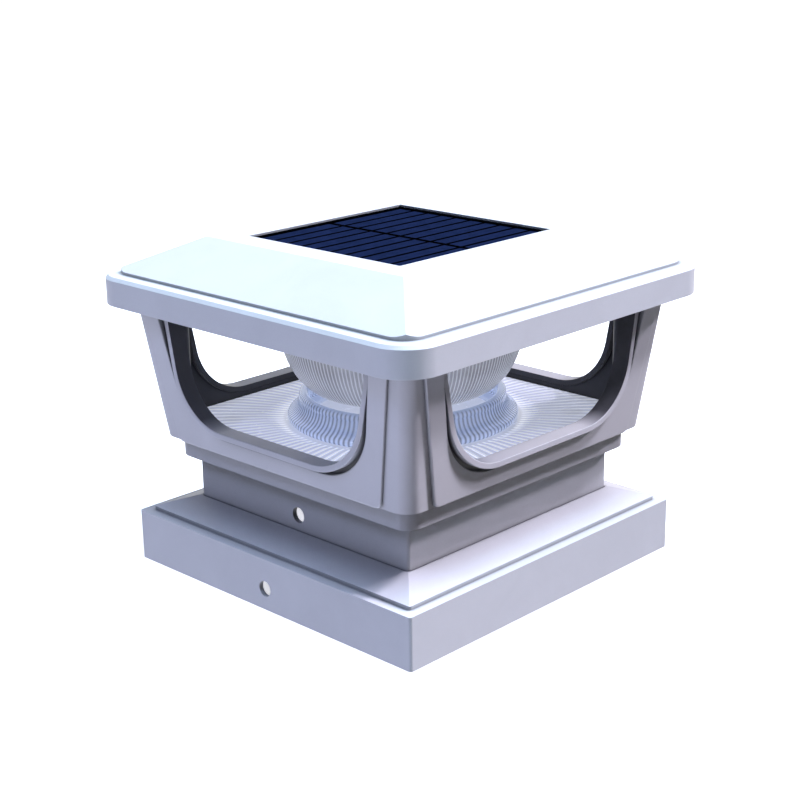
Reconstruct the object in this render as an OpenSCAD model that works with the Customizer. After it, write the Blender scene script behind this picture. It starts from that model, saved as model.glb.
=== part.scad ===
// Solar post cap light with a lantern body, a hipped solar roof,
// a neck that fits a small post and a wide clip-on base for a large post.
// Units are millimetres. The underside of the wide base is z = 0, +Z is up.

/* [Wide base] */
// Outer width of the wide base skirt
base_w = 146; // [143:0.5:152]
// Wall thickness of the wide base skirt
base_wall = 1.8; // [1.6:0.1:2.4]
// Diameter of the screw holes in the skirt
base_hole_d = 6; // [4:0.5:7]

/* [Neck] */
// Outer width of the neck sleeve
neck_w = 111; // [110:0.5:112]
// Wall thickness of the neck sleeve
neck_wall = 2; // [1.6:0.1:2.4]
// Depth of the centring ribs inside the neck
neck_rib = 2.2; // [1.2:0.1:3]
// Diameter of the screw holes in the neck
neck_hole_d = 6; // [4:0.5:7]

/* [Lantern] */
// Thickness of each outer side panel
panel_t = 2; // [1.6:0.1:2.2]
// Wall thickness of each window liner
liner_t = 2.2; // [1.6:0.1:2.4]
// Number of prism ribs on the floor plate
floor_ribs = 112; // [60:4:128]

/* [Lens] */
// Wall thickness of the bell lens
bell_wall = 2.5; // [2:0.1:3]
// Radius of the foot of the ring lens
ring_r = 44.1; // [43.5:0.1:45]

/* [Roof] */
// Overall width of the roof rim
roof_w = 163.5; // [161:0.5:167]
// Corner radius of the roof rim
roof_r = 13.8; // [12.5:0.1:15]
// Number of solar strips in each row
strips = 10; // [8:1:12]

/* [Moving parts] */
// Travel of the power switch slider
switch_travel = 4; // [3:0.5:4.5]
// Diameter of the battery door hinge pins
hinge_pin_d = 1.5; // [1.3:0.1:1.6]

/* [Hidden] */
$fn = 64;
e = 0.01;

// main levels
bh = base_w / 2;      // half width of the skirt
z_skirt = 19.9;       // flat ledge of the wide base
z_riser = 21.4;       // top of the small riser
z_slope = 25.7;       // top of the sloped base cover
z_flange = 15.5;      // underside of the seat flange
z_seat = 17.2;        // top of the seat flange
nh = neck_w / 2;      // half width of the neck
z_neck = 17.5;        // lower edge of the neck
z_collar = 43.1;      // underside of the collar
z_deck = 51.1;        // underside of the lantern
z_ceil = 47.6;        // ceiling inside the neck
z_floor = 57.2;       // top of the prism plate between ribs
z_rim = 103.7;        // lower edge of the roof rim
z_tray = 104.2;       // underside of the roof tray
z_top = 127.7;        // flat top of the roof
rh = roof_w / 2;      // half width of the roof rim
taper = 0.1146;       // outward lean of the lantern sides
sp0 = 66.6;           // half width over the side panels at z_deck
step = 1.2;           // corner posts lie this far behind the panels
y_lip = 70.4;         // front face of the window liners
y_lin = 63.4;         // inner end of the window liners
col = 59.5;           // screw columns of the lantern
lensx = 36.77;        // screw lugs of the bell lens
slope = 11.8 / 24.6;  // pitch of the roof
bay_y = 56.3;         // middle of the battery bay
hinge_y = 52.2;       // door hinge axis
hinge_z = 105.4;
sw_y = -56;           // middle of the switch
px = 38.8; py = 40.1; // half size of the solar panel

// square with rounded corners, half width s, corner radius r
module rsq(s, r) {
  square([2 * s - 2 * r, 2 * s], center = true);
  square([2 * s, 2 * s - 2 * r], center = true);
  for (x = [-1, 1], y = [-1, 1]) translate([x * (s - r), y * (s - r)]) circle(r);
}
module rprism(s, r, z0, z1) { translate([0, 0, z0]) linear_extrude(z1 - z0) rsq(s, r); }
// square block with rounded corners and sides that lean in by d
module rchamfer(s, r, z0, z1, d) {
  for (x = [-1, 1], y = [-1, 1]) translate([x * (s - r), y * (s - r), z0]) cylinder(r1 = r, r2 = r - d, h = z1 - z0);
  for (a = [0, 90]) rotate(a) rotate([90, 0, 0]) linear_extrude(2 * (s - r), center = true) polygon([[-s, z0], [s, z0], [s - d, z1], [d - s, z1]]);
}
// square frustum with flat sides
module pyr(s0, z0, s1, z1) {
  intersection() {
    rotate([90, 0, 0]) linear_extrude(2 * s0 + 20, center = true) polygon([[-s0, z0], [s0, z0], [s1, z1], [-s1, z1]]);
    rotate([90, 0, 90]) linear_extrude(2 * s0 + 20, center = true) polygon([[-s0, z0], [s0, z0], [s1, z1], [-s1, z1]]);
  }
}
// square frustum with rounded corners made of narrow flats
module rpyr(s0, r0, z0, s1, r1, z1) {
  intersection_for(a = [0:15:75])
    rotate(a) pyr((s0 - r0) * (cos(a) + sin(a)) + r0, z0, (s1 - r1) * (cos(a) + sin(a)) + r1, z1);
}
module box(x0, x1, y0, y1, z0, z1) { translate([x0, y0, z0]) cube([x1 - x0, y1 - y0, z1 - z0]); }
module at4(d) { for (x = [-1, 1], y = [-1, 1]) translate([x * d, y * d, 0]) children(); }
module cyl(d, z0, z1) { translate([0, 0, z0]) cylinder(d = d, h = z1 - z0); }

// window shape in the x-z plane: round lower corners, sides leaning out
function tx(cx, r) = cx + r * cos(10.8);
module win2d(cx, cz, r, zt) {
  k = tan(10.8);
  x1 = tx(cx, r); z1 = cz - r * sin(10.8);
  xt = x1 + k * (zt - z1);
  intersection() {
    union() {
      polygon([[-cx, cz - r], [cx, cz - r], [x1, z1], [xt, zt], [-xt, zt], [-x1, z1]]);
      for (s = [-1, 1]) translate([s * cx, cz]) circle(r);
    }
    translate([-90, cz - r - 5]) square([180, zt - cz + r + 5]);
  }
}
// outline of a side panel in the x-z plane, grown by g
module panel2d(g) {
  k = 0.1974; b = atan(k); r = 3 + g;
  zb = z_deck - g; xb = 53.5 + g / cos(b) - k * g;
  cx = xb + k * r - r / cos(b);
  x1 = cx + r * cos(b); z1 = zb + r - r * sin(b);
  zt = z_rim - 0.1; xt = x1 + k * (zt - z1);
  polygon([[-cx, zb], [cx, zb], [x1, z1], [xt, zt], [-xt, zt], [-x1, z1]]);
  for (s = [-1, 1]) translate([s * cx, zb + r]) circle(r);
}
// leaning slab on the front, from its inner face out to reach d
module slab(t, d) {
  a = sp0; b = sp0 + taper * (z_rim - z_deck); c = 0.5;
  rotate([90, 0, 90]) linear_extrude(150, center = true)
    polygon([[-(a - t) + taper * c, z_deck - c], [-(a + d) + taper * c, z_deck - c],
             [-(b + d) - taper * c, z_rim + c], [-(b - t) - taper * c, z_rim + c]]);
}
module panel_shape() {
  intersection() {
    slab(panel_t, 0);
    rotate([90, 0, 0]) linear_extrude(90) difference() { panel2d(0); win2d(25.2, 83.7, 26, z_rim + 2); }
  }
}
module panel_pocket() {
  intersection() {
    slab(panel_t, 4);
    rotate([90, 0, 0]) linear_extrude(90) panel2d(0.05);
  }
}
module liner_shape() {
  rotate([90, 0, 0]) translate([0, 0, y_lin]) linear_extrude(y_lip - y_lin) difference() {
    win2d(24.3, 85.3, 24 + liner_t, 103);
    win2d(24.3, 85.3, 24, 100.8);
  }
}
// screw with a cross recess, head below the joint face at z = 0, shank upwards
module screw(hd, hh, d, l) {
  difference() {
    union() { translate([0, 0, -hh]) cylinder(d = hd, h = hh, $fn = 32); translate([0, 0, -e]) cylinder(d = d, h = l + e, $fn = 24); }
    translate([-hd * 0.32, -0.3, -hh - e]) cube([hd * 0.64, 0.6, hh * 0.55]);
    translate([-0.3, -hd * 0.32, -hh - e]) cube([0.6, hd * 0.64, hh * 0.55]);
  }
}
// round wire through a list of points
module wire(p, d) {
  for (i = [0:len(p) - 2]) {
    v = p[i + 1] - p[i];
    translate(p[i]) rotate([0, acos(v[2] / norm(v)), atan2(v[1], v[0])]) cylinder(d = d, h = norm(v), $fn = 16);
    if (i > 0) translate(p[i]) sphere(d = d + 0.14, $fn = 16);
  }
}

// ---------- wide base ----------
module base_adapter() {
  color("white") difference() {
    union() {
      difference() {
        union() {
          rprism(bh, 1.2, 0, z_skirt);
          rprism(69, 1.2, z_skirt - 1, z_riser);
          pyr(69, z_riser - e, nh + 0.8, z_slope);
        }
        rprism(bh - base_wall, 0.8, -1, z_skirt - 2);
        pyr(66.5, z_skirt - 2.1, nh + 3.2, 22);
      }
      rprism(nh + 2.3, 1.5, z_flange, z_slope - 1.5);
      for (a = [0:90:270], x = [-34, 34]) rotate(a)
        box(x - 1, x + 1, nh + 1.5, bh - base_wall + 0.5, z_flange, z_skirt - 1.5);
    }
    rprism(nh + 0.3, 1.5, z_seat, z_slope + 1);
    rprism(50, 2, z_flange - 1, z_slope + 1);
    translate([0, 0, 8.3]) rotate([90, 0, 0]) cylinder(d = base_hole_d, h = 2 * bh + 2, center = true);
  }
}

// ---------- neck ----------
module neck_sleeve() {
  color("white") difference() {
    union() {
      difference() {
        union() {
          rprism(nh, 1.2, z_neck, z_collar + 1);
          rprism(61.4, 6.5, z_collar, z_deck);
        }
        rprism(nh - neck_wall, 0.8, z_neck - 1, z_ceil);
      }
      for (a = [0:90:270], x = [-32, 32]) rotate(a)
        box(x - 1, x + 1, nh - neck_wall - neck_rib, nh - neck_wall + 0.5, z_neck + 2.5, z_ceil + 0.5);
    }
    rprism(32, 4, z_ceil - 1, z_deck + 1);
    at4(46) { cyl(3.4, z_ceil - 1, z_deck + 1, $fn = 24); cyl(6.4, z_ceil - 1, z_ceil + 1.8, $fn = 32); }
    translate([0, 0, 31.7]) rotate([90, 0, 0]) cylinder(d = neck_hole_d, h = 2 * nh + 2, center = true);
  }
}

// ---------- lantern ----------
module lantern_frame() {
  sb = sp0 - step; st = sb + taper * (z_tray - z_deck);
  color("white") difference() {
    union() {
      difference() {
        rpyr(sb, 7, z_deck, st, 5.5, z_tray);
        rpyr(sb + taper * 2.5 - 2.5, 4.6, z_deck + 2.5, st - 2.5 + taper, 3.6, z_tray + 1);
      }
      at4(col) cyl(8, z_deck + 1, z_tray, $fn = 32);
      // webs between the screw columns and the corners
      intersection() {
        rpyr(sb - 1, 6, z_deck, st - 1, 4.5, z_tray);
        for (a = [45:90:315]) rotate(a) box(col * sqrt(2) + 2, st * sqrt(2), -1, 1, z_tray - 24, z_tray);
      }
      at4(46) cyl(8, z_deck + 1, z_floor - 2, $fn = 32);
      // ledge under the edge of the prism plate
      difference() { rprism(sb - 2, 5, z_deck + 1, z_floor - 2); rprism(sb - 5, 3, z_deck, z_floor); }
    }
    for (a = [0:90:270]) rotate(a) {
      panel_pocket();
      rotate([90, 0, 0]) translate([0, 0, 55]) linear_extrude(30) win2d(24.3, 85.3, 24 + liner_t, 103);
    }
    at4(46) cyl(3, z_deck - 1, z_floor - 2.4, $fn = 24);
    at4(col) cyl(3, 93, z_tray + 1, $fn = 24);
    for (x = [-30, 30], y = [-30, 30]) translate([x, y, 0]) cyl(4, z_deck - 1, z_deck + 4, $fn = 24);
  }
}
module side_panel_front() { color("white") panel_shape(); }
module side_panel_back() { color("white") rotate(180) panel_shape(); }
module side_panel_left() { color("white") rotate(-90) panel_shape(); }
module side_panel_right() { color("white") rotate(90) panel_shape(); }
module window_liner_front() { color("lightgray") liner_shape(); }
module window_liner_back() { color("lightgray") rotate(180) liner_shape(); }
module window_liner_left() { color("lightgray") rotate(-90) liner_shape(); }
module window_liner_right() { color("lightgray") rotate(90) liner_shape(); }

module prism_plate() {
  s = 63.1;
  color("gainsboro") difference() {
    union() {
      rprism(s, 4.5, z_floor - 2, z_floor);
      intersection() {
        rprism(s, 4.5, z_floor - 0.5, z_floor + 1.5);
        for (i = [0:floor_ribs - 1]) rotate((i + 0.5) * 360 / floor_ribs)
          rotate([90, 0, 90]) translate([0, 0, 46]) linear_extrude(42)
            polygon([[-0.9, z_floor - 0.1], [0.9, z_floor - 0.1], [0, z_floor + 1]]);
      }
    }
    at4(col) cyl(8.4, z_floor - 3, z_floor + 3, $fn = 32);
  }
}
module ring_lens() {
  r = ring_r; z = z_floor;
  color("lightblue") rotate_extrude() union() {
    polygon([[r - 9, z], [r - 0.9, z], [r, z + 1.2], [r, z + 2.4], [r - 0.7, z + 2.9], [r - 2.2, z + 3.8],
      [r - 3.4, z + 5], [r - 4.2, z + 6.4], [r - 4.7, z + 8.2], [r - 8.1, z + 8.2], [r - 7.7, z + 6.6],
      [r - 6.6, z + 5], [r - 5.2, z + 3.4], [r - 4, z + 1.7], [r - 9, z + 1.7]]);
    translate([r - 6.5, z + 9.1]) circle(1.9, $fn = 24);
  }
}
function bell(z) = lookup(z, [[69.9, 35.3], [71, 36.6], [73.2, 38.8], [75.4, 40.6], [77.8, 42.1], [80.8, 43.6],
  [84.5, 44.9], [89, 45.9], [94, 46.5], [99, 46.8], [104.2, 46.8]]);
module bell_lens() {
  zs = [71, 73.2, 75.4, 77.8, 80.8, 84.5, 89, 94, 99, 104.2];
  w = bell_wall;
  color("azure") difference() {
    union() {
      rotate_extrude() polygon(concat([[0, 69.9], [35.3, 69.9]], [for (z = zs) [bell(z), z]], [[0, 104.2]]));
      cyl(97.2, 102, z_tray);
      at4(lensx) cyl(9, 102, z_tray, $fn = 32);
    }
    rotate_extrude() polygon(concat([[0, 69.9 + w]], [for (z = [72.9, 75.4, 77.8, 80.8, 84.5, 89, 94, 99, 105]) [bell(z) - w, z]], [[0, 105]]));
    at4(lensx) cyl(3.4, 101, 105, $fn = 24);
  }
}
module lens_screws() { color("silver") at4(lensx) translate([0, 0, 102]) screw(5.6, 1.8, 3, 6.5); }

// ---------- roof ----------
module roof_cover() {
  ri = rh - 2.2;
  color("white") difference() {
    union() {
      difference() {
        union() {
          rprism(rh, roof_r, z_rim, 113.4);
          rchamfer(rh, roof_r, 113.4, 114.6, 1.2);
          intersection() {
            rprism(75.8, 8, 114, z_top + 1);
            pyr(50.8 + (z_top - 110) / slope, 110, 50.8, z_top);
          }
        }
        rprism(ri, roof_r - 2.2, z_rim - 1, 112.2);
        intersection() {
          rprism(73.5, 6, 112, 126);
          pyr(48 + (125.4 - 110) / slope, 110, 48, 125.4);
        }
      }
      // panel tub
      box(-px - 2, px + 2, -py - 2, py + 2, 122, z_top - 0.5);
      // seat for the gasket
      difference() { rprism(ri + 0.5, roof_r - 1.8, 107.2, 109); rprism(ri - 3.9, roof_r - 6, 107, 110); }
      at4(72) cyl(5.6, 106.2, 113.5, $fn = 32);
    }
    box(-px - 0.1, px + 0.1, -py - 0.1, py + 0.1, 124.3, z_top + 1);
    translate([30, -12, 0]) cyl(8, 121, 125, $fn = 32);
    at4(72) cyl(2.6, 105, 112.4, $fn = 24);
  }
}
module roof_tray() {
  s = rh - 2.5; z1 = z_tray + 2;
  color("whitesmoke") difference() {
    union() {
      rprism(s, roof_r - 2.5, z_tray, z1);
      // battery bay
      box(-28.4, 28.4, 49.4, 63.2, z1 - e, 117.9);
      at4(lensx) cyl(7, z1 - e, 109.6, $fn = 32);
      for (x = [-24, 24], y = [-38, -10]) translate([x, y, 0]) cyl(5, z1 - e, 112, $fn = 32);
      // hinge cheeks
      for (x = [-1, 1]) translate([x * 27.2, hinge_y, hinge_z]) rotate([0, 90, 0]) cylinder(d = 2.4, h = 2.4, center = true, $fn = 32);
    }
    box(-26.0, 26.0, 50.6, 62, z_tray - 1, 117);
    translate([0, hinge_y, hinge_z]) rotate([0, 90, 0]) cylinder(d = hinge_pin_d + 0.1, h = 55.2, center = true, $fn = 32);
    cyl(24, z_tray - 1, z1 + 1);
    at4(lensx) cyl(3, z_tray - 1, 109, $fn = 24);
    at4(col) cyl(3.4, z_tray - 1, z1 + 1, $fn = 24);
    at4(72) cyl(3.2, z_tray - 1, z1 + 1, $fn = 24);
    for (x = [-24, 24], y = [-38, -10]) translate([x, y, 0]) cyl(2, 107.4, 113, $fn = 16);
    box(-switch_travel / 2 - 2, switch_travel / 2 + 2, sw_y - 1.6, sw_y + 1.6, z_tray - 1, z1 + 1);
    // wire notches of the bay
    box(-26.3, -24.3, 49, 51, 112, 114);
    box(24.3, 26.3, 49, 51, 112, 114);
  }
}
module roof_gasket() {
  color("dimgray") difference() {
    rprism(rh - 3, roof_r - 3, 106.2, 107.2);
    rprism(rh - 5.2, roof_r - 5.2, 106, 108);
  }
}

// ---------- solar panel ----------
module panel_foam() {
  color("darkgray") difference() { box(-px, px, -py, py, 124.3, 124.8); box(-px + 5, px - 5, -py + 5, py - 5, 124, 125); }
}
module solar_board() { color("black") box(-px, px, -py, py, 124.8, 126); }
sx = (2 * px - 2.2) / strips;
module strip_boxes(g) {
  for (i = [0:strips - 1], j = [-1, 1])
    box(-px + 1.1 + i * sx + 0.45, -px + 1.1 + (i + 1) * sx - 0.45, j > 0 ? 0.7 : -py + 1.2, j > 0 ? py - 1.2 : -0.7, 126, 126.3 + g);
}
module solar_strips() { color("midnightblue") strip_boxes(0); }
module panel_cover() { color("lightsteelblue") difference() { box(-px, px, -py, py, 126, 126.9); translate([0, 0, -0.01]) strip_boxes(0.01); } }
module panel_leads() {
  color("red") {
    wire([[28.4, -12, 124.8], [28.4, -12, 119], [16, -18, 116.8], [16, -18, 113.6]], 1.3);
    wire([[31.4, -12, 124.8], [31.4, -12, 118.4], [16, -26, 116.4], [16, -26, 113.6]], 1.3);
  }
}

// ---------- electronics ----------
module main_board() {
  color("darkgreen") difference() {
    box(-27, 27, -42, -6, 112, 113.6);
    for (x = [-24, 24], y = [-38, -10]) translate([x, y, 0]) cyl(2.4, 111, 115, $fn = 16);
  }
}
module board_screws() { color("silver") for (x = [-24, 24], y = [-38, -10]) translate([x, y, 113.6]) mirror([0, 0, 1]) screw(4, 1.4, 2, 5.5); }
module control_chip() { color("black") union() { box(-8, -3, -27, -21, 113.75, 115.3); for (i = [0:3]) { box(-10, -3, -26.6 + i * 1.5, -26.1 + i * 1.5, 113.6, 113.9); } for (i = [0:3]) { box(-8, -1, -26.6 + i * 1.5, -26.1 + i * 1.5, 113.6, 113.9); } } }
module boost_inductor() { color("tan") translate([5, -14, 0]) { cyl(7, 113.6, 114.4, $fn = 32); cyl(4.4, 114.4 - e, 117.2, $fn = 32); cyl(7, 117.2 - e, 118, $fn = 32); } }
module smoothing_caps() { color("slategray") for (x = [-16, -9]) translate([x, -13, 0]) cyl(5, 113.6, 119, $fn = 32); }
module led_board() { color("white") difference() { cyl(31, 106.2, 107.8); for (a = [0, 180]) rotate(a) translate([13.6, 0, 0]) cyl(2, 105, 109, $fn = 16); } }
module led_emitters() { color("lightyellow") for (a = [0:120:240]) rotate(a) translate([6, 0, 0]) { box(-1.75, 1.75, -1.75, 1.75, 105.5, 106.2); cyl(2.6, 105.3, 105.5 + e, $fn = 24); } }
module led_leads() {
  color("red") {
    wire([[9, -8, 107.8], [9, -8, 112]], 1.3);
    wire([[-9, -8, 107.8], [-9, -8, 112]], 1.3);
  }
}

// ---------- battery ----------
module battery_cell() {
  color("seagreen") translate([0, bay_y, 111.6]) rotate([0, 90, 0]) {
    cylinder(d = 10.5, h = 43.5, center = true);
    translate([0, 0, 21.7]) cylinder(d = 3.8, h = 0.85, $fn = 24);
  }
}
// coil made of joined rings of wire on a back plate
module battery_spring() {
  color("silver") translate([-26, bay_y, 111.6]) rotate([0, 90, 0]) {
    translate([-3.5, -4, 0]) cube([7, 8, 0.4]);
    for (i = [0:3]) translate([0, 0, 0.8 + i]) rotate_extrude($fn = 32) translate([3 - i * 0.3, 0]) circle(0.45, $fn = 16);
    for (a = [0, 180]) rotate(a) translate([2.55, 0, 0.2]) cylinder(d = 0.7, h = 3.6, $fn = 16);
  }
}
module battery_plate() {
  color("silver") translate([26, bay_y, 111.6]) rotate([0, -90, 0]) {
    translate([-3.5, -4, 0]) cube([7, 8, 0.4]);
    cylinder(d1 = 4, d2 = 3, h = 3.45, $fn = 24);
  }
}
module battery_leads() {
  color("black") {
    wire([[-25.3, 52.3, 113], [-25.3, 46.5, 113], [-20, 34, 115.4], [-20, -18, 115.4], [-20, -18, 113.6]], 1.3);
    wire([[25.3, 52.3, 113], [25.3, 46.5, 113], [20.5, 34, 115.4], [20.5, -14, 115.4], [20.5, -14, 113.6]], 1.3);
  }
}
module battery_door() {
  color("whitesmoke") union() {
    difference() {
      union() {
        box(-25.7, 25.7, hinge_y, 61.7, 104.4, 106);
        translate([0, hinge_y, hinge_z]) rotate([0, 90, 0]) cylinder(d = 2.4, h = 51.4, center = true, $fn = 32);
      }
      box(-6, 6, 59.6, 60.8, 103, 105.2);
    }
    translate([0, hinge_y, hinge_z]) rotate([0, 90, 0]) cylinder(d = hinge_pin_d, h = 54.6, center = true, $fn = 32);
  }
}

// ---------- power switch ----------
module switch_body() {
  color("black") difference() {
    box(-8, 8, sw_y - 4, sw_y + 4, 106.2, 111.4);
    box(-switch_travel / 2 - 2.6, switch_travel / 2 + 2.6, sw_y - 2.4, sw_y + 2.4, 105, 108.8);
  }
}
module switch_slider() {
  color("dimgray") translate([-switch_travel / 2, sw_y, 0]) union() {
    box(-2.2, 2.2, -2.05, 2.05, 106.5, 108.4);
    difference() {
      box(-1.5, 1.5, -1.2, 1.2, 101.6, 107);
      for (x = [-0.9, 0, 0.9]) box(x - 0.15, x + 0.15, -2, 2, 101, 101.9);
    }
  }
}
module switch_leads() {
  color("black") {
    wire([[-4, -56, 111.4], [-4, -56, 114.6], [-8, -38, 116.4], [-8, -38, 113.6]], 1.3);
    wire([[4, -56, 111.4], [4, -56, 114.6], [8, -38, 116.4], [8, -38, 113.6]], 1.3);
  }
}

// ---------- assembly screws ----------
module tray_screws() { color("silver") at4(72) translate([0, 0, z_tray]) screw(4.8, 1.8, 2.6, 8); }
module frame_screws() { color("silver") at4(col) translate([0, 0, z_tray + 2]) mirror([0, 0, 1]) screw(5.8, 1.8, 3, 12); }
module neck_screws() { color("silver") at4(46) translate([0, 0, z_ceil + 1.8]) screw(5.8, 1.8, 3, 5); }

base_adapter();
neck_sleeve();
lantern_frame();
side_panel_front();
side_panel_back();
side_panel_left();
side_panel_right();
window_liner_front();
window_liner_back();
window_liner_left();
window_liner_right();
prism_plate();
ring_lens();
bell_lens();
lens_screws();
roof_cover();
roof_tray();
roof_gasket();
panel_foam();
solar_board();
solar_strips();
panel_cover();
panel_leads();
main_board();
control_chip();
boost_inductor();
smoothing_caps();
board_screws();
led_board();
led_emitters();
led_leads();
battery_cell();
battery_spring();
battery_plate();
battery_leads();
battery_door();
switch_body();
switch_slider();
switch_leads();
tray_screws();
frame_screws();
neck_screws();
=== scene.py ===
import math
import bpy
import bmesh
from mathutils import Matrix, Vector


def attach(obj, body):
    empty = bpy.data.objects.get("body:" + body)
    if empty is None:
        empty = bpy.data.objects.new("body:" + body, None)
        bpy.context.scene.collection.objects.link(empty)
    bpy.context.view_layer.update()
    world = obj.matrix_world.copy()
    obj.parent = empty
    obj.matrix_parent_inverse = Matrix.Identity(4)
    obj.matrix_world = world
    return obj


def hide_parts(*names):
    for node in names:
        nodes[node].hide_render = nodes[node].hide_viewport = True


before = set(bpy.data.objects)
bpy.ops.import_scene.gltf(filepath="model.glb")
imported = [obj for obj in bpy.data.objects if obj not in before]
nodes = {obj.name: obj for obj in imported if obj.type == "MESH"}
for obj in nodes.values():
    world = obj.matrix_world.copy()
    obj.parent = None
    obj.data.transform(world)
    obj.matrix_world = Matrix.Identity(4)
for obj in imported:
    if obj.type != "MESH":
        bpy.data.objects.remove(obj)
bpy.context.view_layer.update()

scene = bpy.context.scene
mm = 0.001


# ------------------------------------------------------------------ camera
def make_camera():
    az, el, roll = math.radians(44.39), math.radians(17.61), math.radians(-0.947)
    fw = Vector((-math.sin(az) * math.cos(el), math.cos(az) * math.cos(el), -math.sin(el)))
    right = Vector((math.cos(az), math.sin(az), 0))
    up = right.cross(fw)
    r = math.cos(roll) * right + math.sin(roll) * up
    u = -math.sin(roll) * right + math.cos(roll) * up
    cd = bpy.data.cameras.new("camera")
    cd.sensor_fit = "HORIZONTAL"
    cd.sensor_width = 36
    cd.lens = 71.51
    cd.clip_start, cd.clip_end = 0.01, 50
    cam = bpy.data.objects.new("camera", cd)
    scene.collection.objects.link(cam)
    m = Matrix.Identity(4)
    for i in range(3):
        m[i][0], m[i][1], m[i][2] = r[i], u[i], -fw[i]
    m[0][3], m[1][3], m[2][3] = 0.4048, -0.4150, 0.2466
    cam.matrix_world = m
    scene.camera = cam


make_camera()


# ------------------------------------------------------------------ materials
class Mat:
    """A node material with object coordinates and short helpers."""

    def __init__(self, name):
        self.m = bpy.data.materials.new(name)
        self.m.use_nodes = True
        self.nt = self.m.node_tree
        self.nt.nodes.clear()
        self.out = self.nt.nodes.new("ShaderNodeOutputMaterial")
        self.b = self.nt.nodes.new("ShaderNodeBsdfPrincipled")
        self.link(self.b.outputs[0], self.out.inputs[0])
        self.co = self.nt.nodes.new("ShaderNodeTexCoord").outputs["Object"]

    def link(self, a, b):
        self.nt.links.new(a, b)

    def set(self, **kw):
        for k, v in kw.items():
            self.b.inputs[k.replace("_", " ")].default_value = v
        return self

    def noise(self, scale, detail=3, rough=0.5, dist=0.0, vec=None):
        n = self.nt.nodes.new("ShaderNodeTexNoise")
        n.inputs["Scale"].default_value = scale
        n.inputs["Detail"].default_value = detail
        n.inputs["Roughness"].default_value = rough
        n.inputs["Distortion"].default_value = dist
        self.link(vec or self.co, n.inputs["Vector"])
        return n.outputs[0]

    def voronoi(self, scale, feature="F1", vec=None):
        n = self.nt.nodes.new("ShaderNodeTexVoronoi")
        n.feature = feature
        n.inputs["Scale"].default_value = scale
        self.link(vec or self.co, n.inputs["Vector"])
        return n

    def map(self, v, a, b, c=0.0, d=1.0):
        n = self.nt.nodes.new("ShaderNodeMapRange")
        self.link(v, n.inputs[0])
        for i, x in enumerate((a, b, c, d)):
            n.inputs[i + 1].default_value = x
        return n.outputs[0]

    def math(self, op, a, b=None, c=None):
        n = self.nt.nodes.new("ShaderNodeMath")
        n.operation = op
        for i, x in enumerate((a, b, c)):
            if x is None:
                continue
            if isinstance(x, (int, float)):
                n.inputs[i].default_value = x
            else:
                self.link(x, n.inputs[i])
        return n.outputs[0]

    def xyz(self, vec=None):
        n = self.nt.nodes.new("ShaderNodeSeparateXYZ")
        self.link(vec or self.co, n.inputs[0])
        return n.outputs

    def ramp(self, v, stops):
        n = self.nt.nodes.new("ShaderNodeValToRGB")
        e = n.color_ramp.elements
        while len(e) < len(stops):
            e.new(0.5)
        for i, (p, c) in enumerate(stops):
            e[i].position = p
            e[i].color = (*c, 1) if len(c) == 3 else c
        self.link(v, n.inputs[0])
        return n.outputs[0]

    def mix(self, f, a, b):
        n = self.nt.nodes.new("ShaderNodeMix")
        n.data_type = "RGBA"
        for s, x in ((n.inputs[0], f), (n.inputs[6], a), (n.inputs[7], b)):
            if isinstance(x, (int, float)):
                s.default_value = x
            elif isinstance(x, tuple):
                s.default_value = (*x, 1)
            else:
                self.link(x, s)
        return n.outputs[2]

    def color(self, c):
        if isinstance(c, tuple):
            self.b.inputs["Base Color"].default_value = (*c, 1)
        else:
            self.link(c, self.b.inputs["Base Color"])
        return self

    def rough(self, v):
        if isinstance(v, (int, float)):
            self.b.inputs["Roughness"].default_value = v
        else:
            self.link(v, self.b.inputs["Roughness"])
        return self

    def bump(self, h, strength, distance):
        n = self.nt.nodes.new("ShaderNodeBump")
        n.inputs["Strength"].default_value = strength
        n.inputs["Distance"].default_value = distance
        self.link(h, n.inputs["Height"])
        self.link(n.outputs[0], self.b.inputs["Normal"])
        return self


def tone(c, f):
    return tuple(min(1.0, x * f) for x in c)


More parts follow.
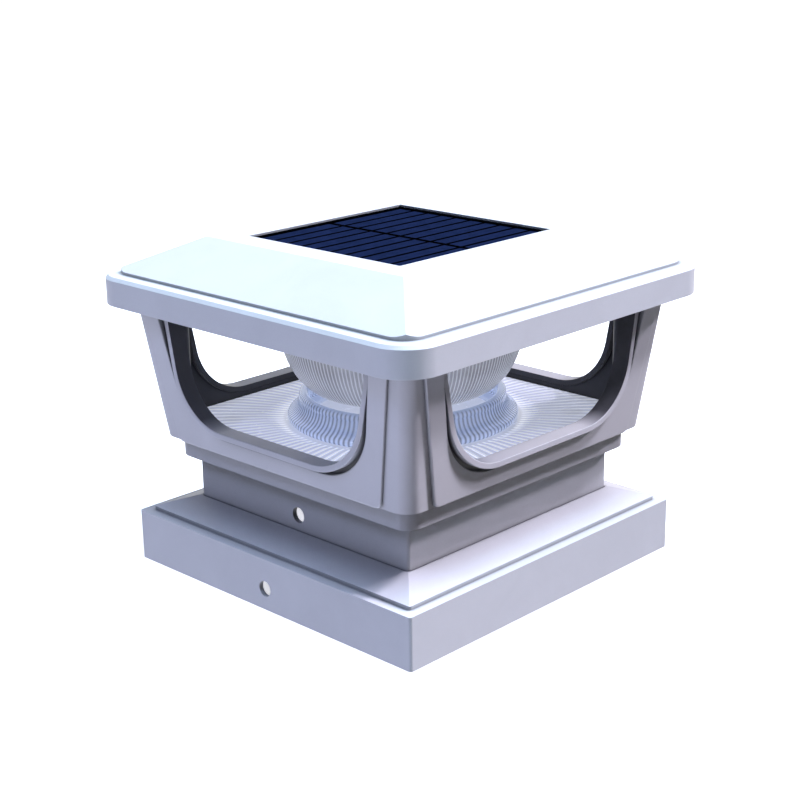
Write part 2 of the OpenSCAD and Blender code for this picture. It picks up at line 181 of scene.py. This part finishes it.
def moulded(name, c, rough=0.36, grain=0.22, var=0.035, inner=None):
    """Satin moulded plastic: fine spark-eroded grain, faint flow mottling, uneven sheen, and painted occlusion shade
    in creases and under overhangs.
    inner: colour of painted shade on the faces that look inwards, towards the lamp's axis, standing in for the shade
    inside the lantern."""
    m = Mat(name)
    cloud = m.noise(38, 4, 0.55, 0.6)
    speck = m.noise(2600, 2, 0.6)
    both = m.math("ADD", m.math("MULTIPLY", cloud, 0.7), m.math("MULTIPLY", speck, 0.3))
    col = m.ramp(both, [(0.32, tone(c, 1 - var)), (0.5, c), (0.68, tone(c, 1 + var))])
    if inner:
        s = m.xyz()
        flat = m.nt.nodes.new("ShaderNodeCombineXYZ")
        m.link(s[0], flat.inputs[0])
        m.link(s[1], flat.inputs[1])
        unit = m.nt.nodes.new("ShaderNodeVectorMath")
        unit.operation = "NORMALIZE"
        m.link(flat.outputs[0], unit.inputs[0])
        geo = m.nt.nodes.new("ShaderNodeNewGeometry")
        dot = m.nt.nodes.new("ShaderNodeVectorMath")
        dot.operation = "DOT_PRODUCT"
        m.link(unit.outputs[0], dot.inputs[0])
        m.link(geo.outputs["Normal"], dot.inputs[1])
        # painted shade: faces that look towards the lamp's axis turn to the dark inner colour
        inside = m.map(dot.outputs["Value"], 0.12, -0.22, 0.0, 1.0)
        col = m.mix(inside, col, m.ramp(both, [(0.32, tone(inner, 0.8)), (0.68, tone(inner, 1.2))]))
    # painted shade: ambient occlusion darkens the colour in narrow steps and grooves, under the roof and round the
    # neck
    ao = m.nt.nodes.new("ShaderNodeAmbientOcclusion")
    ao.samples = 6
    ao.inputs["Distance"].default_value = 0.0022
    near = m.map(ao.outputs["AO"], 0.22, 0.85, 0.55, 1.0)
    under = m.nt.nodes.new("ShaderNodeAmbientOcclusion")
    under.samples = 8
    under.inputs["Distance"].default_value = 0.026
    painted_shade = m.math("MULTIPLY", near, m.map(under.outputs["AO"], 0.30, 0.95, 0.36, 1.0))
    m.color(m.mix(painted_shade, (0.0, 0.0, 0.0), col))
    m.rough(m.map(m.noise(95, 4, 0.6), 0.3, 0.7, rough - 0.05, rough + 0.06))
    m.set(IOR=1.47, Specular_IOR_Level=0.22)
    fine = m.noise(1700, 3, 0.65)
    wide = m.noise(45, 2, 0.5)
    m.bump(m.math("ADD", m.math("MULTIPLY", fine, 0.9), m.math("MULTIPLY", wide, 0.1)), grain, 0.00007)
    return m.m


WHITE = (0.72, 0.725, 0.74)
plastic = moulded("satin_white_plastic", WHITE)
# painted shade: the lantern and the window liners are dark on their inward faces
frame_m = moulded("lantern_plastic", WHITE, inner=(0.10, 0.10, 0.11))
liner_m = moulded("window_liner_plastic", (0.70, 0.705, 0.725), 0.33, inner=(0.10, 0.10, 0.11))
tray_m = moulded("tray_plastic", (0.66, 0.665, 0.68), 0.5, 0.35)


def clear_lens(name, tint, rough, trans, alpha, ribs, dark, r0=0.0, extra=0.0, glow=0.0, hub=1.0, grain=0.12, r1=1.0):
    """Clear moulding with ribs round the axis. The grooves carry painted shade: they are darker by the factor dark,
    and the plain part inside the radius r0 by the factor hub. Outside the radius r1 it is plain too."""
    m = Mat(name)
    v = m.noise(70, 3, 0.5)
    s = m.xyz()
    ang = m.math("ARCTAN2", s[1], s[0])
    wave = m.math("COSINE", m.math("MULTIPLY", ang, float(ribs)))
    if extra:
        wave = m.math("ADD", m.math("MULTIPLY", wave, 1 - extra), m.math("MULTIPLY", m.math("COSINE", m.math("MULTIPLY", ang, 2.0 * ribs)), extra))
    # painted shade: the rib grooves are darkened by the factor dark
    crest = m.map(wave, -0.9, 0.5, dark, 1.0)
    rad = m.math("SQRT", m.math("ADD", m.math("MULTIPLY", s[0], s[0]), m.math("MULTIPLY", s[1], s[1])))
    keep = m.map(rad, r0 - 0.001, r0, 0.0, 1.0)
    f = m.map(keep, 0.0, 1.0, hub, 1.0)
    ribbed = m.math("MULTIPLY", keep, m.map(rad, r1, r1 + 0.0002, 1.0, 0.0))
    f = m.math("SUBTRACT", f, m.math("MULTIPLY", ribbed, m.math("SUBTRACT", 1.0, crest)))
    col = m.mix(f, tone(tint, 0.1), m.ramp(v, [(0.3, tone(tint, 0.96)), (0.7, tint)]))
    m.color(col)
    if glow:  # painted light: the moulding glows in its own colour, standing in for daylight piped through it
        m.link(col, m.b.inputs["Emission Color"])
        m.set(Emission_Strength=glow)
    m.rough(m.map(m.noise(240, 3), 0.3, 0.7, rough * 0.7, rough * 1.4))
    m.set(IOR=1.49, Transmission_Weight=trans, Alpha=alpha)
    m.bump(m.noise(900, 2), grain, 0.00006)
    return m.m


# painted light: the glow argument makes each lens emit light of its own colour
bell_m = clear_lens("ribbed_clear_lens", (0.89, 0.915, 1.0), 0.05, 0.45, 1.0, 180, 0.10, extra=0.35, glow=0.15, r1=0.0469)
ring_m = clear_lens("ribbed_ring_lens", (0.66, 0.76, 1.0), 0.05, 0.45, 1.0, 132, 0.30, 0.0392, glow=0.19, hub=0.72)
floor_m = clear_lens("prism_floor_lens", (0.83, 0.87, 1.0), 0.20, 0.08, 1.0, 112, 0.44, 0.046, 0.35, glow=0.50, hub=0.62, grain=0.5)


def cell_silicon():
    m = Mat("solar_cell_silicon")
    s = m.xyz()
    crystal = m.voronoi(330).outputs["Color"]
    cs = m.nt.nodes.new("ShaderNodeSeparateColor")
    m.link(crystal, cs.inputs[0])
    base = m.ramp(cs.outputs[0], [(0.0, (0.0078, 0.0142, 0.043)), (0.5, (0.0090, 0.0160, 0.049)), (1.0, (0.0102, 0.0178, 0.055))])
    # printed silver fingers across each strip, 1.3 mm apart
    fy = m.math("PINGPONG", s[1], 0.00065)
    finger = m.map(fy, 0.00003, 0.00007, 1.0, 0.0)
    lit = m.mix(m.math("MULTIPLY", finger, 0.10), base, (0.08, 0.10, 0.16))
    # black isolation margin round each strip, 10 strips of 7.54 mm and a wider gap in the middle
    u = m.math("FRACT", m.math("DIVIDE", m.math("ADD", s[0], 0.0377), 0.00754))
    near = m.math("MULTIPLY", m.math("MINIMUM", u, m.math("SUBTRACT", 1.0, u)), 7.54)
    mid = m.math("MULTIPLY", m.math("ABSOLUTE", s[1]), 700.0)
    far = m.math("MULTIPLY", m.math("SUBTRACT", 0.0389, m.math("ABSOLUTE", s[1])), 1000.0)
    edge = m.map(m.math("MINIMUM", near, m.math("MINIMUM", mid, m.math("ADD", far, 0.55))), 0.80, 0.88, 0.0, 1.0)
    m.color(m.mix(edge, (0.0008, 0.0008, 0.0012), lit))
    m.rough(m.map(m.noise(500, 3), 0.3, 0.7, 0.34, 0.42))
    m.bump(m.noise(1500, 3), 0.06, 0.00003)
    m.set(Specular_IOR_Level=0.0)
    return m.m


def laminate():
    m = Mat("black_laminate")
    v = m.noise(700, 3)
    m.color(m.ramp(v, [(0.3, (0.0012, 0.0012, 0.0025)), (0.7, (0.0028, 0.0028, 0.005))]))
    m.rough(m.map(m.noise(180), 0.3, 0.7, 0.3, 0.42))
    m.bump(v, 0.15, 0.00004)
    m.set(Specular_IOR_Level=0.0)
    return m.m


def clear_cover():
    m = Mat("clear_panel_cover")
    v = m.noise(120, 3)
    m.color(m.ramp(v, [(0.3, (0.0010, 0.0012, 0.002)), (0.7, (0.0016, 0.0018, 0.003))]))
    m.rough(m.map(v, 0.3, 0.7, 0.10, 0.16))
    # printed black border, clear over the cells
    s = m.xyz()
    bx = m.map(m.math("ABSOLUTE", s[0]), 0.0372, 0.0374, 0.0, 1.0)
    by = m.map(m.math("ABSOLUTE", s[1]), 0.0384, 0.0386, 0.0, 1.0)
    m.link(m.map(m.math("MAXIMUM", bx, by), 0.0, 1.0, 0.05, 1.0), m.b.inputs["Alpha"])
    m.set(Specular_IOR_Level=0.0)
    m.bump(m.noise(400, 2), 0.05, 0.00004)
    return m.m


def metal(name, c, rough=0.28):
    m = Mat(name)
    st = m.nt.nodes.new("ShaderNodeMapping")
    st.inputs["Scale"].default_value = (1, 1, 12)
    m.link(m.co, st.inputs[0])
    v = m.noise(900, 4, 0.6, 0, st.outputs[0])
    m.color(m.ramp(v, [(0.3, tone(c, 0.86)), (0.7, c)]))
    m.rough(m.map(v, 0.3, 0.7, rough - 0.08, rough + 0.1))
    m.set(Metallic=1.0)
    m.bump(v, 0.2, 0.00003)
    return m.m


def plain(name, c, rough=0.5, scale=600, grain=0.3, var=0.12):
    m = Mat(name)
    v = m.noise(scale, 4, 0.6)
    m.color(m.ramp(v, [(0.3, tone(c, 1 - var)), (0.7, tone(c, 1 + var))]))
    m.rough(m.map(m.noise(scale * 0.3), 0.3, 0.7, rough - 0.06, rough + 0.08))
    m.bump(v, grain, 0.00008)
    return m.m


def circuit(name, mask, copper):
    """Solder mask with tracks and vias under it."""
    m = Mat(name)
    s = m.xyz()
    br = m.nt.nodes.new("ShaderNodeTexBrick")
    br.inputs["Scale"].default_value = 170
    br.inputs["Mortar Size"].default_value = 0.03
    br.inputs["Brick Width"].default_value = 0.9
    br.inputs["Row Height"].default_value = 0.35
    m.link(m.co, br.inputs["Vector"])
    track = br.outputs["Fac"]
    via = m.map(m.voronoi(260).outputs["Distance"], 0.10, 0.13, 1.0, 0.0)
    c = m.mix(m.math("MULTIPLY", track, 0.7), mask, copper)
    m.color(m.mix(m.math("MULTIPLY", via, 0.6), c, (0.45, 0.42, 0.34)))
    m.rough(m.map(m.noise(300), 0.3, 0.7, 0.3, 0.42))
    m.bump(m.math("ADD", track, m.math("MULTIPLY", m.noise(900), 0.3)), 0.2, 0.00005)
    return m.m


def wrap():
    m = Mat("cell_shrink_wrap")
    s = m.xyz()
    band = m.map(m.math("ABSOLUTE", m.math("SUBTRACT", s[0], 0.0162)), 0.0020, 0.0022, 1.0, 0.0)
    body = m.ramp(m.noise(160, 3), [(0.3, (0.03, 0.20, 0.10)), (0.7, (0.04, 0.25, 0.13))])
    m.color(m.mix(band, body, (0.72, 0.72, 0.68)))
    m.rough(m.map(m.noise(300), 0.3, 0.7, 0.25, 0.36))
    m.bump(m.noise(250, 3), 0.2, 0.00008)
    return m.m


MATS = {
    "silicon": cell_silicon(),
    "laminate": laminate(),
    "cover": clear_cover(),
    "steel": metal("plated_steel", (0.62, 0.62, 0.63)),
    "can": metal("capacitor_can", (0.55, 0.56, 0.58), 0.34),
    "black": plain("black_moulding", (0.022, 0.022, 0.024), 0.42),
    "ferrite": plain("ferrite_and_wire", (0.10, 0.055, 0.03), 0.4, 1400, 0.5, 0.35),
    "rubber": plain("gasket_rubber", (0.035, 0.035, 0.036), 0.7, 800, 0.4),
    "foam": plain("foam_seal", (0.06, 0.06, 0.063), 0.9, 2200, 0.9, 0.3),
    "red": plain("red_wire_insulation", (0.36, 0.02, 0.02), 0.4, 700, 0.2),
    "blackwire": plain("black_wire_insulation", (0.02, 0.02, 0.022), 0.4, 700, 0.2),
    "emitter": plain("emitter_phosphor", (0.72, 0.58, 0.16), 0.5, 1500, 0.4, 0.1),
    "board": circuit("green_solder_mask", (0.012, 0.085, 0.035), (0.03, 0.15, 0.06)),
    "ledboard": circuit("white_solder_mask", (0.62, 0.62, 0.60), (0.50, 0.50, 0.48)),
    "wrap": wrap(),
}
USE = {
    "base_adapter": plastic, "neck_sleeve": frame_m, "lantern_frame": frame_m, "roof_cover": plastic,
    "side_panel_front": plastic, "side_panel_back": plastic, "side_panel_left": plastic, "side_panel_right": plastic,
    "window_liner_front": liner_m, "window_liner_back": liner_m, "window_liner_left": liner_m, "window_liner_right": liner_m,
    "roof_tray": tray_m, "battery_door": tray_m,
    "prism_plate": floor_m, "ring_lens": ring_m, "bell_lens": bell_m,
    "solar_strips": MATS["silicon"], "solar_board": MATS["laminate"], "panel_cover": MATS["cover"],
    "lens_screws": MATS["steel"], "board_screws": MATS["steel"], "tray_screws": MATS["steel"],
    "frame_screws": MATS["steel"], "neck_screws": MATS["steel"], "battery_spring": MATS["steel"], "battery_plate": MATS["steel"],
    "roof_gasket": MATS["rubber"], "panel_foam": MATS["foam"],
    "panel_leads": MATS["red"], "led_leads": MATS["red"], "battery_leads": MATS["blackwire"], "switch_leads": MATS["blackwire"],
    "main_board": MATS["board"], "led_board": MATS["ledboard"], "led_emitters": MATS["emitter"],
    "control_chip": MATS["black"], "boost_inductor": MATS["ferrite"], "smoothing_caps": MATS["can"],
    "battery_cell": MATS["wrap"], "switch_body": MATS["black"], "switch_slider": MATS["black"],
}
for n, o in nodes.items():
    o.data.materials.clear()
    o.data.materials.append(USE[n])
    for p in o.data.polygons:
        p.use_smooth = True


# ------------------------------------------------------------------ edges of the moulded parts
def soften(node, width, seg=2, angle=28.0):
    o = nodes[node]
    w = o.modifiers.new("weld", "WELD")
    w.merge_threshold = 2e-6
    d = o.modifiers.new("flats", "DECIMATE")
    d.decimate_type = "DISSOLVE"
    d.angle_limit = math.radians(0.8)
    if width:
        b = o.modifiers.new("edges", "BEVEL")
        b.width = width * mm
        b.segments = seg
        b.limit_method = "ANGLE"
        b.angle_limit = math.radians(angle)
        b.use_clamp_overlap = True
        b.miter_outer = "MITER_SHARP"
    e = o.modifiers.new("crisp", "EDGE_SPLIT")
    e.use_edge_angle = True
    e.use_edge_sharp = False
    e.split_angle = math.radians(17)
    n = o.modifiers.new("normals", "WEIGHTED_NORMAL")
    n.mode = "FACE_AREA_WITH_ANGLE"
    n.weight = 50
    n.keep_sharp = False


for n, wd in {"base_adapter": 0.45, "neck_sleeve": 0.4, "lantern_frame": 0.3, "roof_cover": 0.4, "roof_tray": 0.2,
              "side_panel_front": 0.4, "side_panel_back": 0.4, "side_panel_left": 0.4, "side_panel_right": 0.4,
              "window_liner_front": 0.22, "window_liner_back": 0.22, "window_liner_left": 0.22, "window_liner_right": 0.22,
              "battery_door": 0.25, "switch_body": 0.25, "switch_slider": 0.12, "main_board": 0.1, "solar_board": 0.1,
              "control_chip": 0.06, "smoothing_caps": 0.25, "boost_inductor": 0.2, "battery_cell": 0.3, "solar_strips": 0.04}.items():
    soften(n, wd)
for n in ("lens_screws", "board_screws", "tray_screws", "frame_screws", "neck_screws"):
    soften(n, 0.12, 2, 40)
for n in ("panel_cover", "roof_gasket", "panel_foam", "led_board", "led_emitters", "battery_spring", "battery_plate",
          "panel_leads", "led_leads", "battery_leads", "switch_leads"):
    soften(n, 0)


# ------------------------------------------------------------------ lenses
def add_mesh(name, verts, faces, mat, smooth=True):
    me = bpy.data.meshes.new(name)
    me.from_pydata([tuple(c * mm for c in v) for v in verts], [], faces)
    me.materials.append(mat)
    bm = bmesh.new()
    bm.from_mesh(me)
    bmesh.ops.recalc_face_normals(bm, faces=bm.faces)
    bm.to_mesh(me)
    bm.free()
    for p in me.polygons:
        p.use_smooth = smooth
    o = bpy.data.objects.new(name, me)
    scene.collection.objects.link(o)
    return o


def reed(t):
    """Convex rib: 0 at the crest, 1 in the groove."""
    u = 2 * (t - math.floor(t)) - 1
    return 1 - math.sqrt(max(0.0, 1 - 0.93 * u * u))


def lathe(profile, ribs, per):
    """Closed surface of revolution. profile: closed list of (r, z, rib depth); a point with r = 0 is a pole."""
    n = ribs * per
    verts, rows = [], []
    for r, z, d in profile:
        if r < 1e-6:
            rows.append([len(verts)])
            verts.append((0, 0, z))
            continue
        row = []
        for k in range(n):
            a = 2 * math.pi * k / n
            q = r - d * reed(k / per)
            row.append(len(verts))
            verts.append((q * math.cos(a), q * math.sin(a), z))
        rows.append(row)
    faces = []
    m = len(rows)
    closed = rows[0] != rows[-1] and len(rows[0]) > 1 and len(rows[-1]) > 1
    for i in range(m if closed else m - 1):
        A, B = rows[i], rows[(i + 1) % m]
        if len(A) == 1 and len(B) == 1:
            continue
        for k in range(n):
            j = (k + 1) % n
            if len(A) == 1:
                faces.append((A[0], B[k], B[j]))
            elif len(B) == 1:
                faces.append((A[k], A[j], B[0]))
            else:
                faces.append((A[k], A[j], B[j], B[k]))
    return verts, faces


def spline(points, step):
    """Points along a Catmull-Rom curve through (r, z) points, about step apart."""
    out = []
    p = [points[0]] + list(points) + [points[-1]]
    for i in range(1, len(p) - 2):
        a, b, c, d = p[i - 1], p[i], p[i + 1], p[i + 2]
        n = max(1, round(math.dist(b, c) / step))
        for k in range(n):
            t = k / n
            out.append(tuple(0.5 * (2 * b[j] + (c[j] - a[j]) * t + (2 * a[j] - 5 * b[j] + 4 * c[j] - d[j]) * t * t
                                    + (3 * b[j] - a[j] - 3 * c[j] + d[j]) * t ** 3) for j in (0, 1)))
    out.append(points[-1])
    return out


def make_bell():
    outer = spline([(34.4, 69.95), (35.6, 70.3), (36.6, 71.0), (38.8, 73.2), (40.6, 75.4), (42.1, 77.8), (43.6, 80.8),
                    (44.9, 84.5), (45.9, 89), (46.5, 94), (46.8, 99), (46.8, 101.8)], 1.3)
    prof = [(0, 69.9, 0), (20, 69.9, 0), (33.6, 69.9, 0)]
    for r, z in outer:
        d = 0.42 * min(1.0, max(0.0, (z - 70.2) / 1.6)) * min(1.0, max(0.0, (101.9 - z) / 0.8))
        prof.append((r, z, d))
    prof += [(46.9, 102.0, 0), (48.3, 102.0, 0), (48.6, 102.3, 0), (48.6, 103.9, 0), (48.3, 104.2, 0), (44.6, 104.2, 0), (44.3, 103.9, 0)]
    inner = spline([(44.3, 101.8), (44.3, 99), (44.0, 94), (43.4, 89), (42.4, 84.5), (41.1, 80.8), (39.6, 77.8), (38.1, 75.4), (36.2, 73.3), (35.0, 72.6), (33.4, 72.4)], 1.6)
    prof += [(r, z, 0) for r, z in inner]
    prof += [(18, 72.4, 0), (0, 72.4, 0)]
    verts, faces = lathe(prof, 180, 8)
    # four screw lugs on the flange
    for sx in (-1, 1):
        for sy in (-1, 1):
            b = len(verts)
            N = 40
            for k in range(N):
                a = 2 * math.pi * k / N
                for rr, zz in ((4.5, 102.2), (4.5, 104.0), (4.3, 104.2), (1.9, 104.2), (1.7, 104.0), (1.7, 102.2), (1.9, 102.0), (4.3, 102.0)):
                    verts.append((sx * 36.77 + rr * math.cos(a), sy * 36.77 + rr * math.sin(a), zz))
            for k in range(N):
                j = (k + 1) % N
                for q in range(8):
                    s = (q + 1) % 8
                    faces.append((b + 8 * k + q, b + 8 * j + q, b + 8 * j + s, b + 8 * k + s))
    o = add_mesh("bell_lens_ribbed", verts, faces, bell_m)
    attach(o, "lamp")
    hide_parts("bell_lens")
    return o


def make_ring():
    R = 44.1
    prof = [(R - 9, 57.2, 0), (R - 5, 57.2, 0), (R - 1.1, 57.2, 0), (R - 0.45, 57.5, 0), (R, 58.2, 0), (R, 59.0, 0), (R - 0.15, 59.45, 0)]
    flare = spline([(R - 0.5, 59.9), (R - 1.2, 60.3), (R - 2.2, 61.0), (R - 3.4, 62.2), (R - 4.2, 63.6), (R - 4.62, 65.0)], 0.5)
    for i, (r, z) in enumerate(flare):
        t = i / (len(flare) - 1)
        prof.append((r, z, 0.55 * min(1.0, t * 5) * min(1.0, (1 - t) * 6)))
    for k in range(0, 13):
        a = math.radians(-25 + k * 230 / 12)
        prof.append((R - 6.5 + 1.9 * math.cos(a), 66.3 + 1.9 * math.sin(a), 0))
    inner = spline([(R - 8.0, 64.6), (R - 7.6, 63.6), (R - 6.6, 62.2), (R - 5.2, 60.6), (R - 4.3, 59.2)], 0.8)
    prof += [(r, z, 0) for r, z in inner]
    prof += [(R - 4.7, 58.95, 0), (R - 8.7, 58.9, 0), (R - 9, 58.6, 0)]
    verts, faces = lathe(prof, 132, 8)
    o = add_mesh("ring_lens_ribbed", verts, faces, ring_m)
    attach(o, "lamp")
    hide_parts("ring_lens")
    return o


def make_floor():
    """Clear plate with a fan of prism ribs that widen outwards."""
    S, RC, H0, H1 = 63.05, 4.5, 57.2, 1.0
    ribs, per = 112, 6
    n = ribs * per

    def reach(a):
        c, s = abs(math.cos(a)), abs(math.sin(a))
        d = S / max(c, s)
        if min(c, s) * d > S - RC:  # rounded corner
            k = S - RC
            bq = -2 * k * (c + s)
            d = (-bq + math.sqrt(max(0.0, bq * bq - 4 * (2 * k * k - RC * RC)))) / 2
        return d

    verts, rows = [], []
    rad = [0, 14, 28, 38, 43.5, 45.6, 46.6]
    for r in rad:
        row = []
        for k in range(n if r else 1):
            a = 2 * math.pi * k / n
            row.append(len(verts))
            verts.append((r * math.cos(a), r * math.sin(a), H0))
        rows.append(row)
    for t in (0.06, 0.17, 0.35, 0.55, 0.75, 0.92, 0.97, 1.0):
        row = []
        for k in range(n):
            a = 2 * math.pi * k / n
            d = reach(a)
            r = 46.6 + (d - 46.6) * t
            tri = 1 - abs(2 * ((k / per) % 1.0) - 1)
            z = H0 + H1 * tri * min(1.0, t * 6) * (0.75 + 0.25 * t) * min(1.0, (1 - t) * 7)
            row.append(len(verts))
            verts.append((r * math.cos(a), r * math.sin(a), z))
        rows.append(row)
    row = []
    for k in range(n):
        a = 2 * math.pi * k / n
        d = reach(a)
        row.append(len(verts))
        verts.append((d * math.cos(a), d * math.sin(a), 55.2))
    rows.append(row)
    rows.append([len(verts)])
    verts.append((0, 0, 55.2))
    faces = []
    for i in range(len(rows) - 1):
        A, B = rows[i], rows[i + 1]
        for k in range(n):
            j = (k + 1) % n
            if len(A) == 1:
                faces.append((A[0], B[k], B[j]))
            elif len(B) == 1:
                faces.append((A[k], A[j], B[0]))
            else:
                faces.append((A[k], A[j], B[j], B[k]))
    o = add_mesh("prism_plate_fan", verts, faces, floor_m, smooth=False)
    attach(o, "lamp")
    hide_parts("prism_plate")
    return o


make_bell()
make_ring()
make_floor()


# ------------------------------------------------------------------ stage, light
def make_stage():
    me = bpy.data.meshes.new("floor")
    s = 3.0
    me.from_pydata([(-s, -s, -0.0003), (s, -s, -0.0003), (s, s, -0.0003), (-s, s, -0.0003)], [], [(0, 1, 2, 3)])
    floor = bpy.data.objects.new("floor", me)
    scene.collection.objects.link(floor)
    m = bpy.data.materials.new("pale_floor")
    m.use_nodes = True
    nt = m.node_tree
    nt.nodes.clear()
    out = nt.nodes.new("ShaderNodeOutputMaterial")
    dif = nt.nodes.new("ShaderNodeBsdfDiffuse")
    dif.inputs[0].default_value = (0.9, 0.9, 0.9, 1)
    em = nt.nodes.new("ShaderNodeEmission")
    em.inputs[0].default_value = (1, 1, 1, 1)
    # painted shade: the glow that keeps the floor pale is weaker under the hollow base, where the floor lies in shade
    co = nt.nodes.new("ShaderNodeTexCoord")
    sp = nt.nodes.new("ShaderNodeSeparateXYZ")
    nt.links.new(co.outputs["Object"], sp.inputs[0])
    ab = []
    for i in (0, 1):
        q = nt.nodes.new("ShaderNodeMath")
        q.operation = "ABSOLUTE"
        nt.links.new(sp.outputs[i], q.inputs[0])
        ab.append(q)
    far = nt.nodes.new("ShaderNodeMath")
    far.operation = "MAXIMUM"
    nt.links.new(ab[0].outputs[0], far.inputs[0])
    nt.links.new(ab[1].outputs[0], far.inputs[1])
    step = nt.nodes.new("ShaderNodeMapRange")
    for i, v in enumerate((0.0715, 0.0722, 0.55, 0.88)):
        step.inputs[i + 1].default_value = v
    nt.links.new(far.outputs[0], step.inputs[0])
    nt.links.new(step.outputs[0], em.inputs[1])
    add = nt.nodes.new("ShaderNodeAddShader")
    geo = nt.nodes.new("ShaderNodeNewGeometry")
    tr = nt.nodes.new("ShaderNodeBsdfTransparent")
    mx = nt.nodes.new("ShaderNodeMixShader")
    nt.links.new(dif.outputs[0], add.inputs[0])
    nt.links.new(em.outputs[0], add.inputs[1])
    nt.links.new(geo.outputs["Backfacing"], mx.inputs[0])
    nt.links.new(add.outputs[0], mx.inputs[1])
    nt.links.new(tr.outputs[0], mx.inputs[2])
    nt.links.new(mx.outputs[0], out.inputs[0])
    me.materials.append(m)
    floor.visible_diffuse = False
    floor.visible_glossy = False
    floor.visible_shadow = False


make_stage()


def sun(name, az, el, strength, color, angle):
    """Soft distant lamp. az is measured from +X towards +Y, el above the horizon; the light comes from there."""
    ld = bpy.data.lights.new(name, "SUN")
    ld.energy = strength
    ld.color = color
    ld.angle = math.radians(angle)
    o = bpy.data.objects.new(name, ld)
    d = Vector((math.cos(math.radians(az)) * math.cos(math.radians(el)), math.sin(math.radians(az)) * math.cos(math.radians(el)), math.sin(math.radians(el))))
    o.rotation_mode = "QUATERNION"
    o.rotation_quaternion = d.to_track_quat("Z", "Y")
    scene.collection.objects.link(o)
    return o


LIGHTS = [
    ("key", 47, 57, 2.60, (0.96, 0.93, 1.13), 7),
    ("side", 60, 34, 1.90, (1.0, 0.94, 1.16), 7),
    ("top", 0, 80, 1.00, (0.88, 1.40, 1.56), 14),
    ("top_left", -45, 76, 0.85, (0.77, 1.00, 1.45), 14),
    ("left_high", -115, 45, 0.45, (0.76, 0.86, 1.40), 14),
    ("left_low", -100, -22, 0.34, (0.84, 0.88, 1.25), 25),
    ("bounce", -100, -70, 2.20, (0.88, 0.92, 1.22), 30),
    ("bounce_right", 8, -50, 0.12, (1.05, 0.85, 1.00), 25),
]
for L in LIGHTS:
    sun(*L)


def make_world():
    """Soft surround: one broad glow from the left, one faint glow from below, white behind everything."""
    w = bpy.data.worlds.new("studio")
    scene.world = w
    w.use_nodes = True
    nt = w.node_tree
    nt.nodes.clear()
    out = nt.nodes.new("ShaderNodeOutputWorld")
    co = nt.nodes.new("ShaderNodeTexCoord")
    total = None
    for name, axis, strength, color in (("from_left", (-1, 0, 0), 0.10, (0.68, 0.98, 1.55)), ("from_below", (0, 0, -1), 0.01, (0.95, 0.90, 1.15)),
                                        ("all_round", None, 0.01, (0.8, 0.9, 1.1))):
        bg = nt.nodes.new("ShaderNodeBackground")
        bg.name = name
        bg.inputs[0].default_value = (*color, 1)
        bg.inputs[1].default_value = strength
        if axis:
            dot = nt.nodes.new("ShaderNodeVectorMath")
            dot.operation = "DOT_PRODUCT"
            nt.links.new(co.outputs["Generated"], dot.inputs[0])
            dot.inputs[1].default_value = axis
            pos = nt.nodes.new("ShaderNodeMath")
            pos.operation = "MAXIMUM"
            pos.inputs[1].default_value = 0.0
            nt.links.new(dot.outputs["Value"], pos.inputs[0])
            mul = nt.nodes.new("ShaderNodeMath")
            mul.operation = "MULTIPLY"
            mul.inputs[1].default_value = strength
            nt.links.new(pos.outputs[0], mul.inputs[0])
            nt.links.new(mul.outputs[0], bg.inputs[1])
        if total is None:
            total = bg
        else:
            add = nt.nodes.new("ShaderNodeAddShader")
            nt.links.new(total.outputs[0], add.inputs[0])
            nt.links.new(bg.outputs[0], add.inputs[1])
            total = add
    white = nt.nodes.new("ShaderNodeBackground")
    white.inputs[0].default_value = (1, 1, 1, 1)
    white.inputs[1].default_value = 1.05
    lp = nt.nodes.new("ShaderNodeLightPath")
    mx = nt.nodes.new("ShaderNodeMixShader")
    dif = nt.nodes.new("ShaderNodeMath")
    dif.operation = "SUBTRACT"
    dif.inputs[0].default_value = 1.0
    nt.links.new(lp.outputs["Is Diffuse Ray"], dif.inputs[1])
    nt.links.new(dif.outputs[0], mx.inputs[0])
    nt.links.new(total.outputs[0], mx.inputs[1])
    nt.links.new(white.outputs[0], mx.inputs[2])
    nt.links.new(mx.outputs[0], out.inputs[0])


make_world()
scene.view_settings.view_transform = "Standard"
scene.view_settings.look = "None"
scene.view_settings.exposure = 0
scene.view_settings.gamma = 1
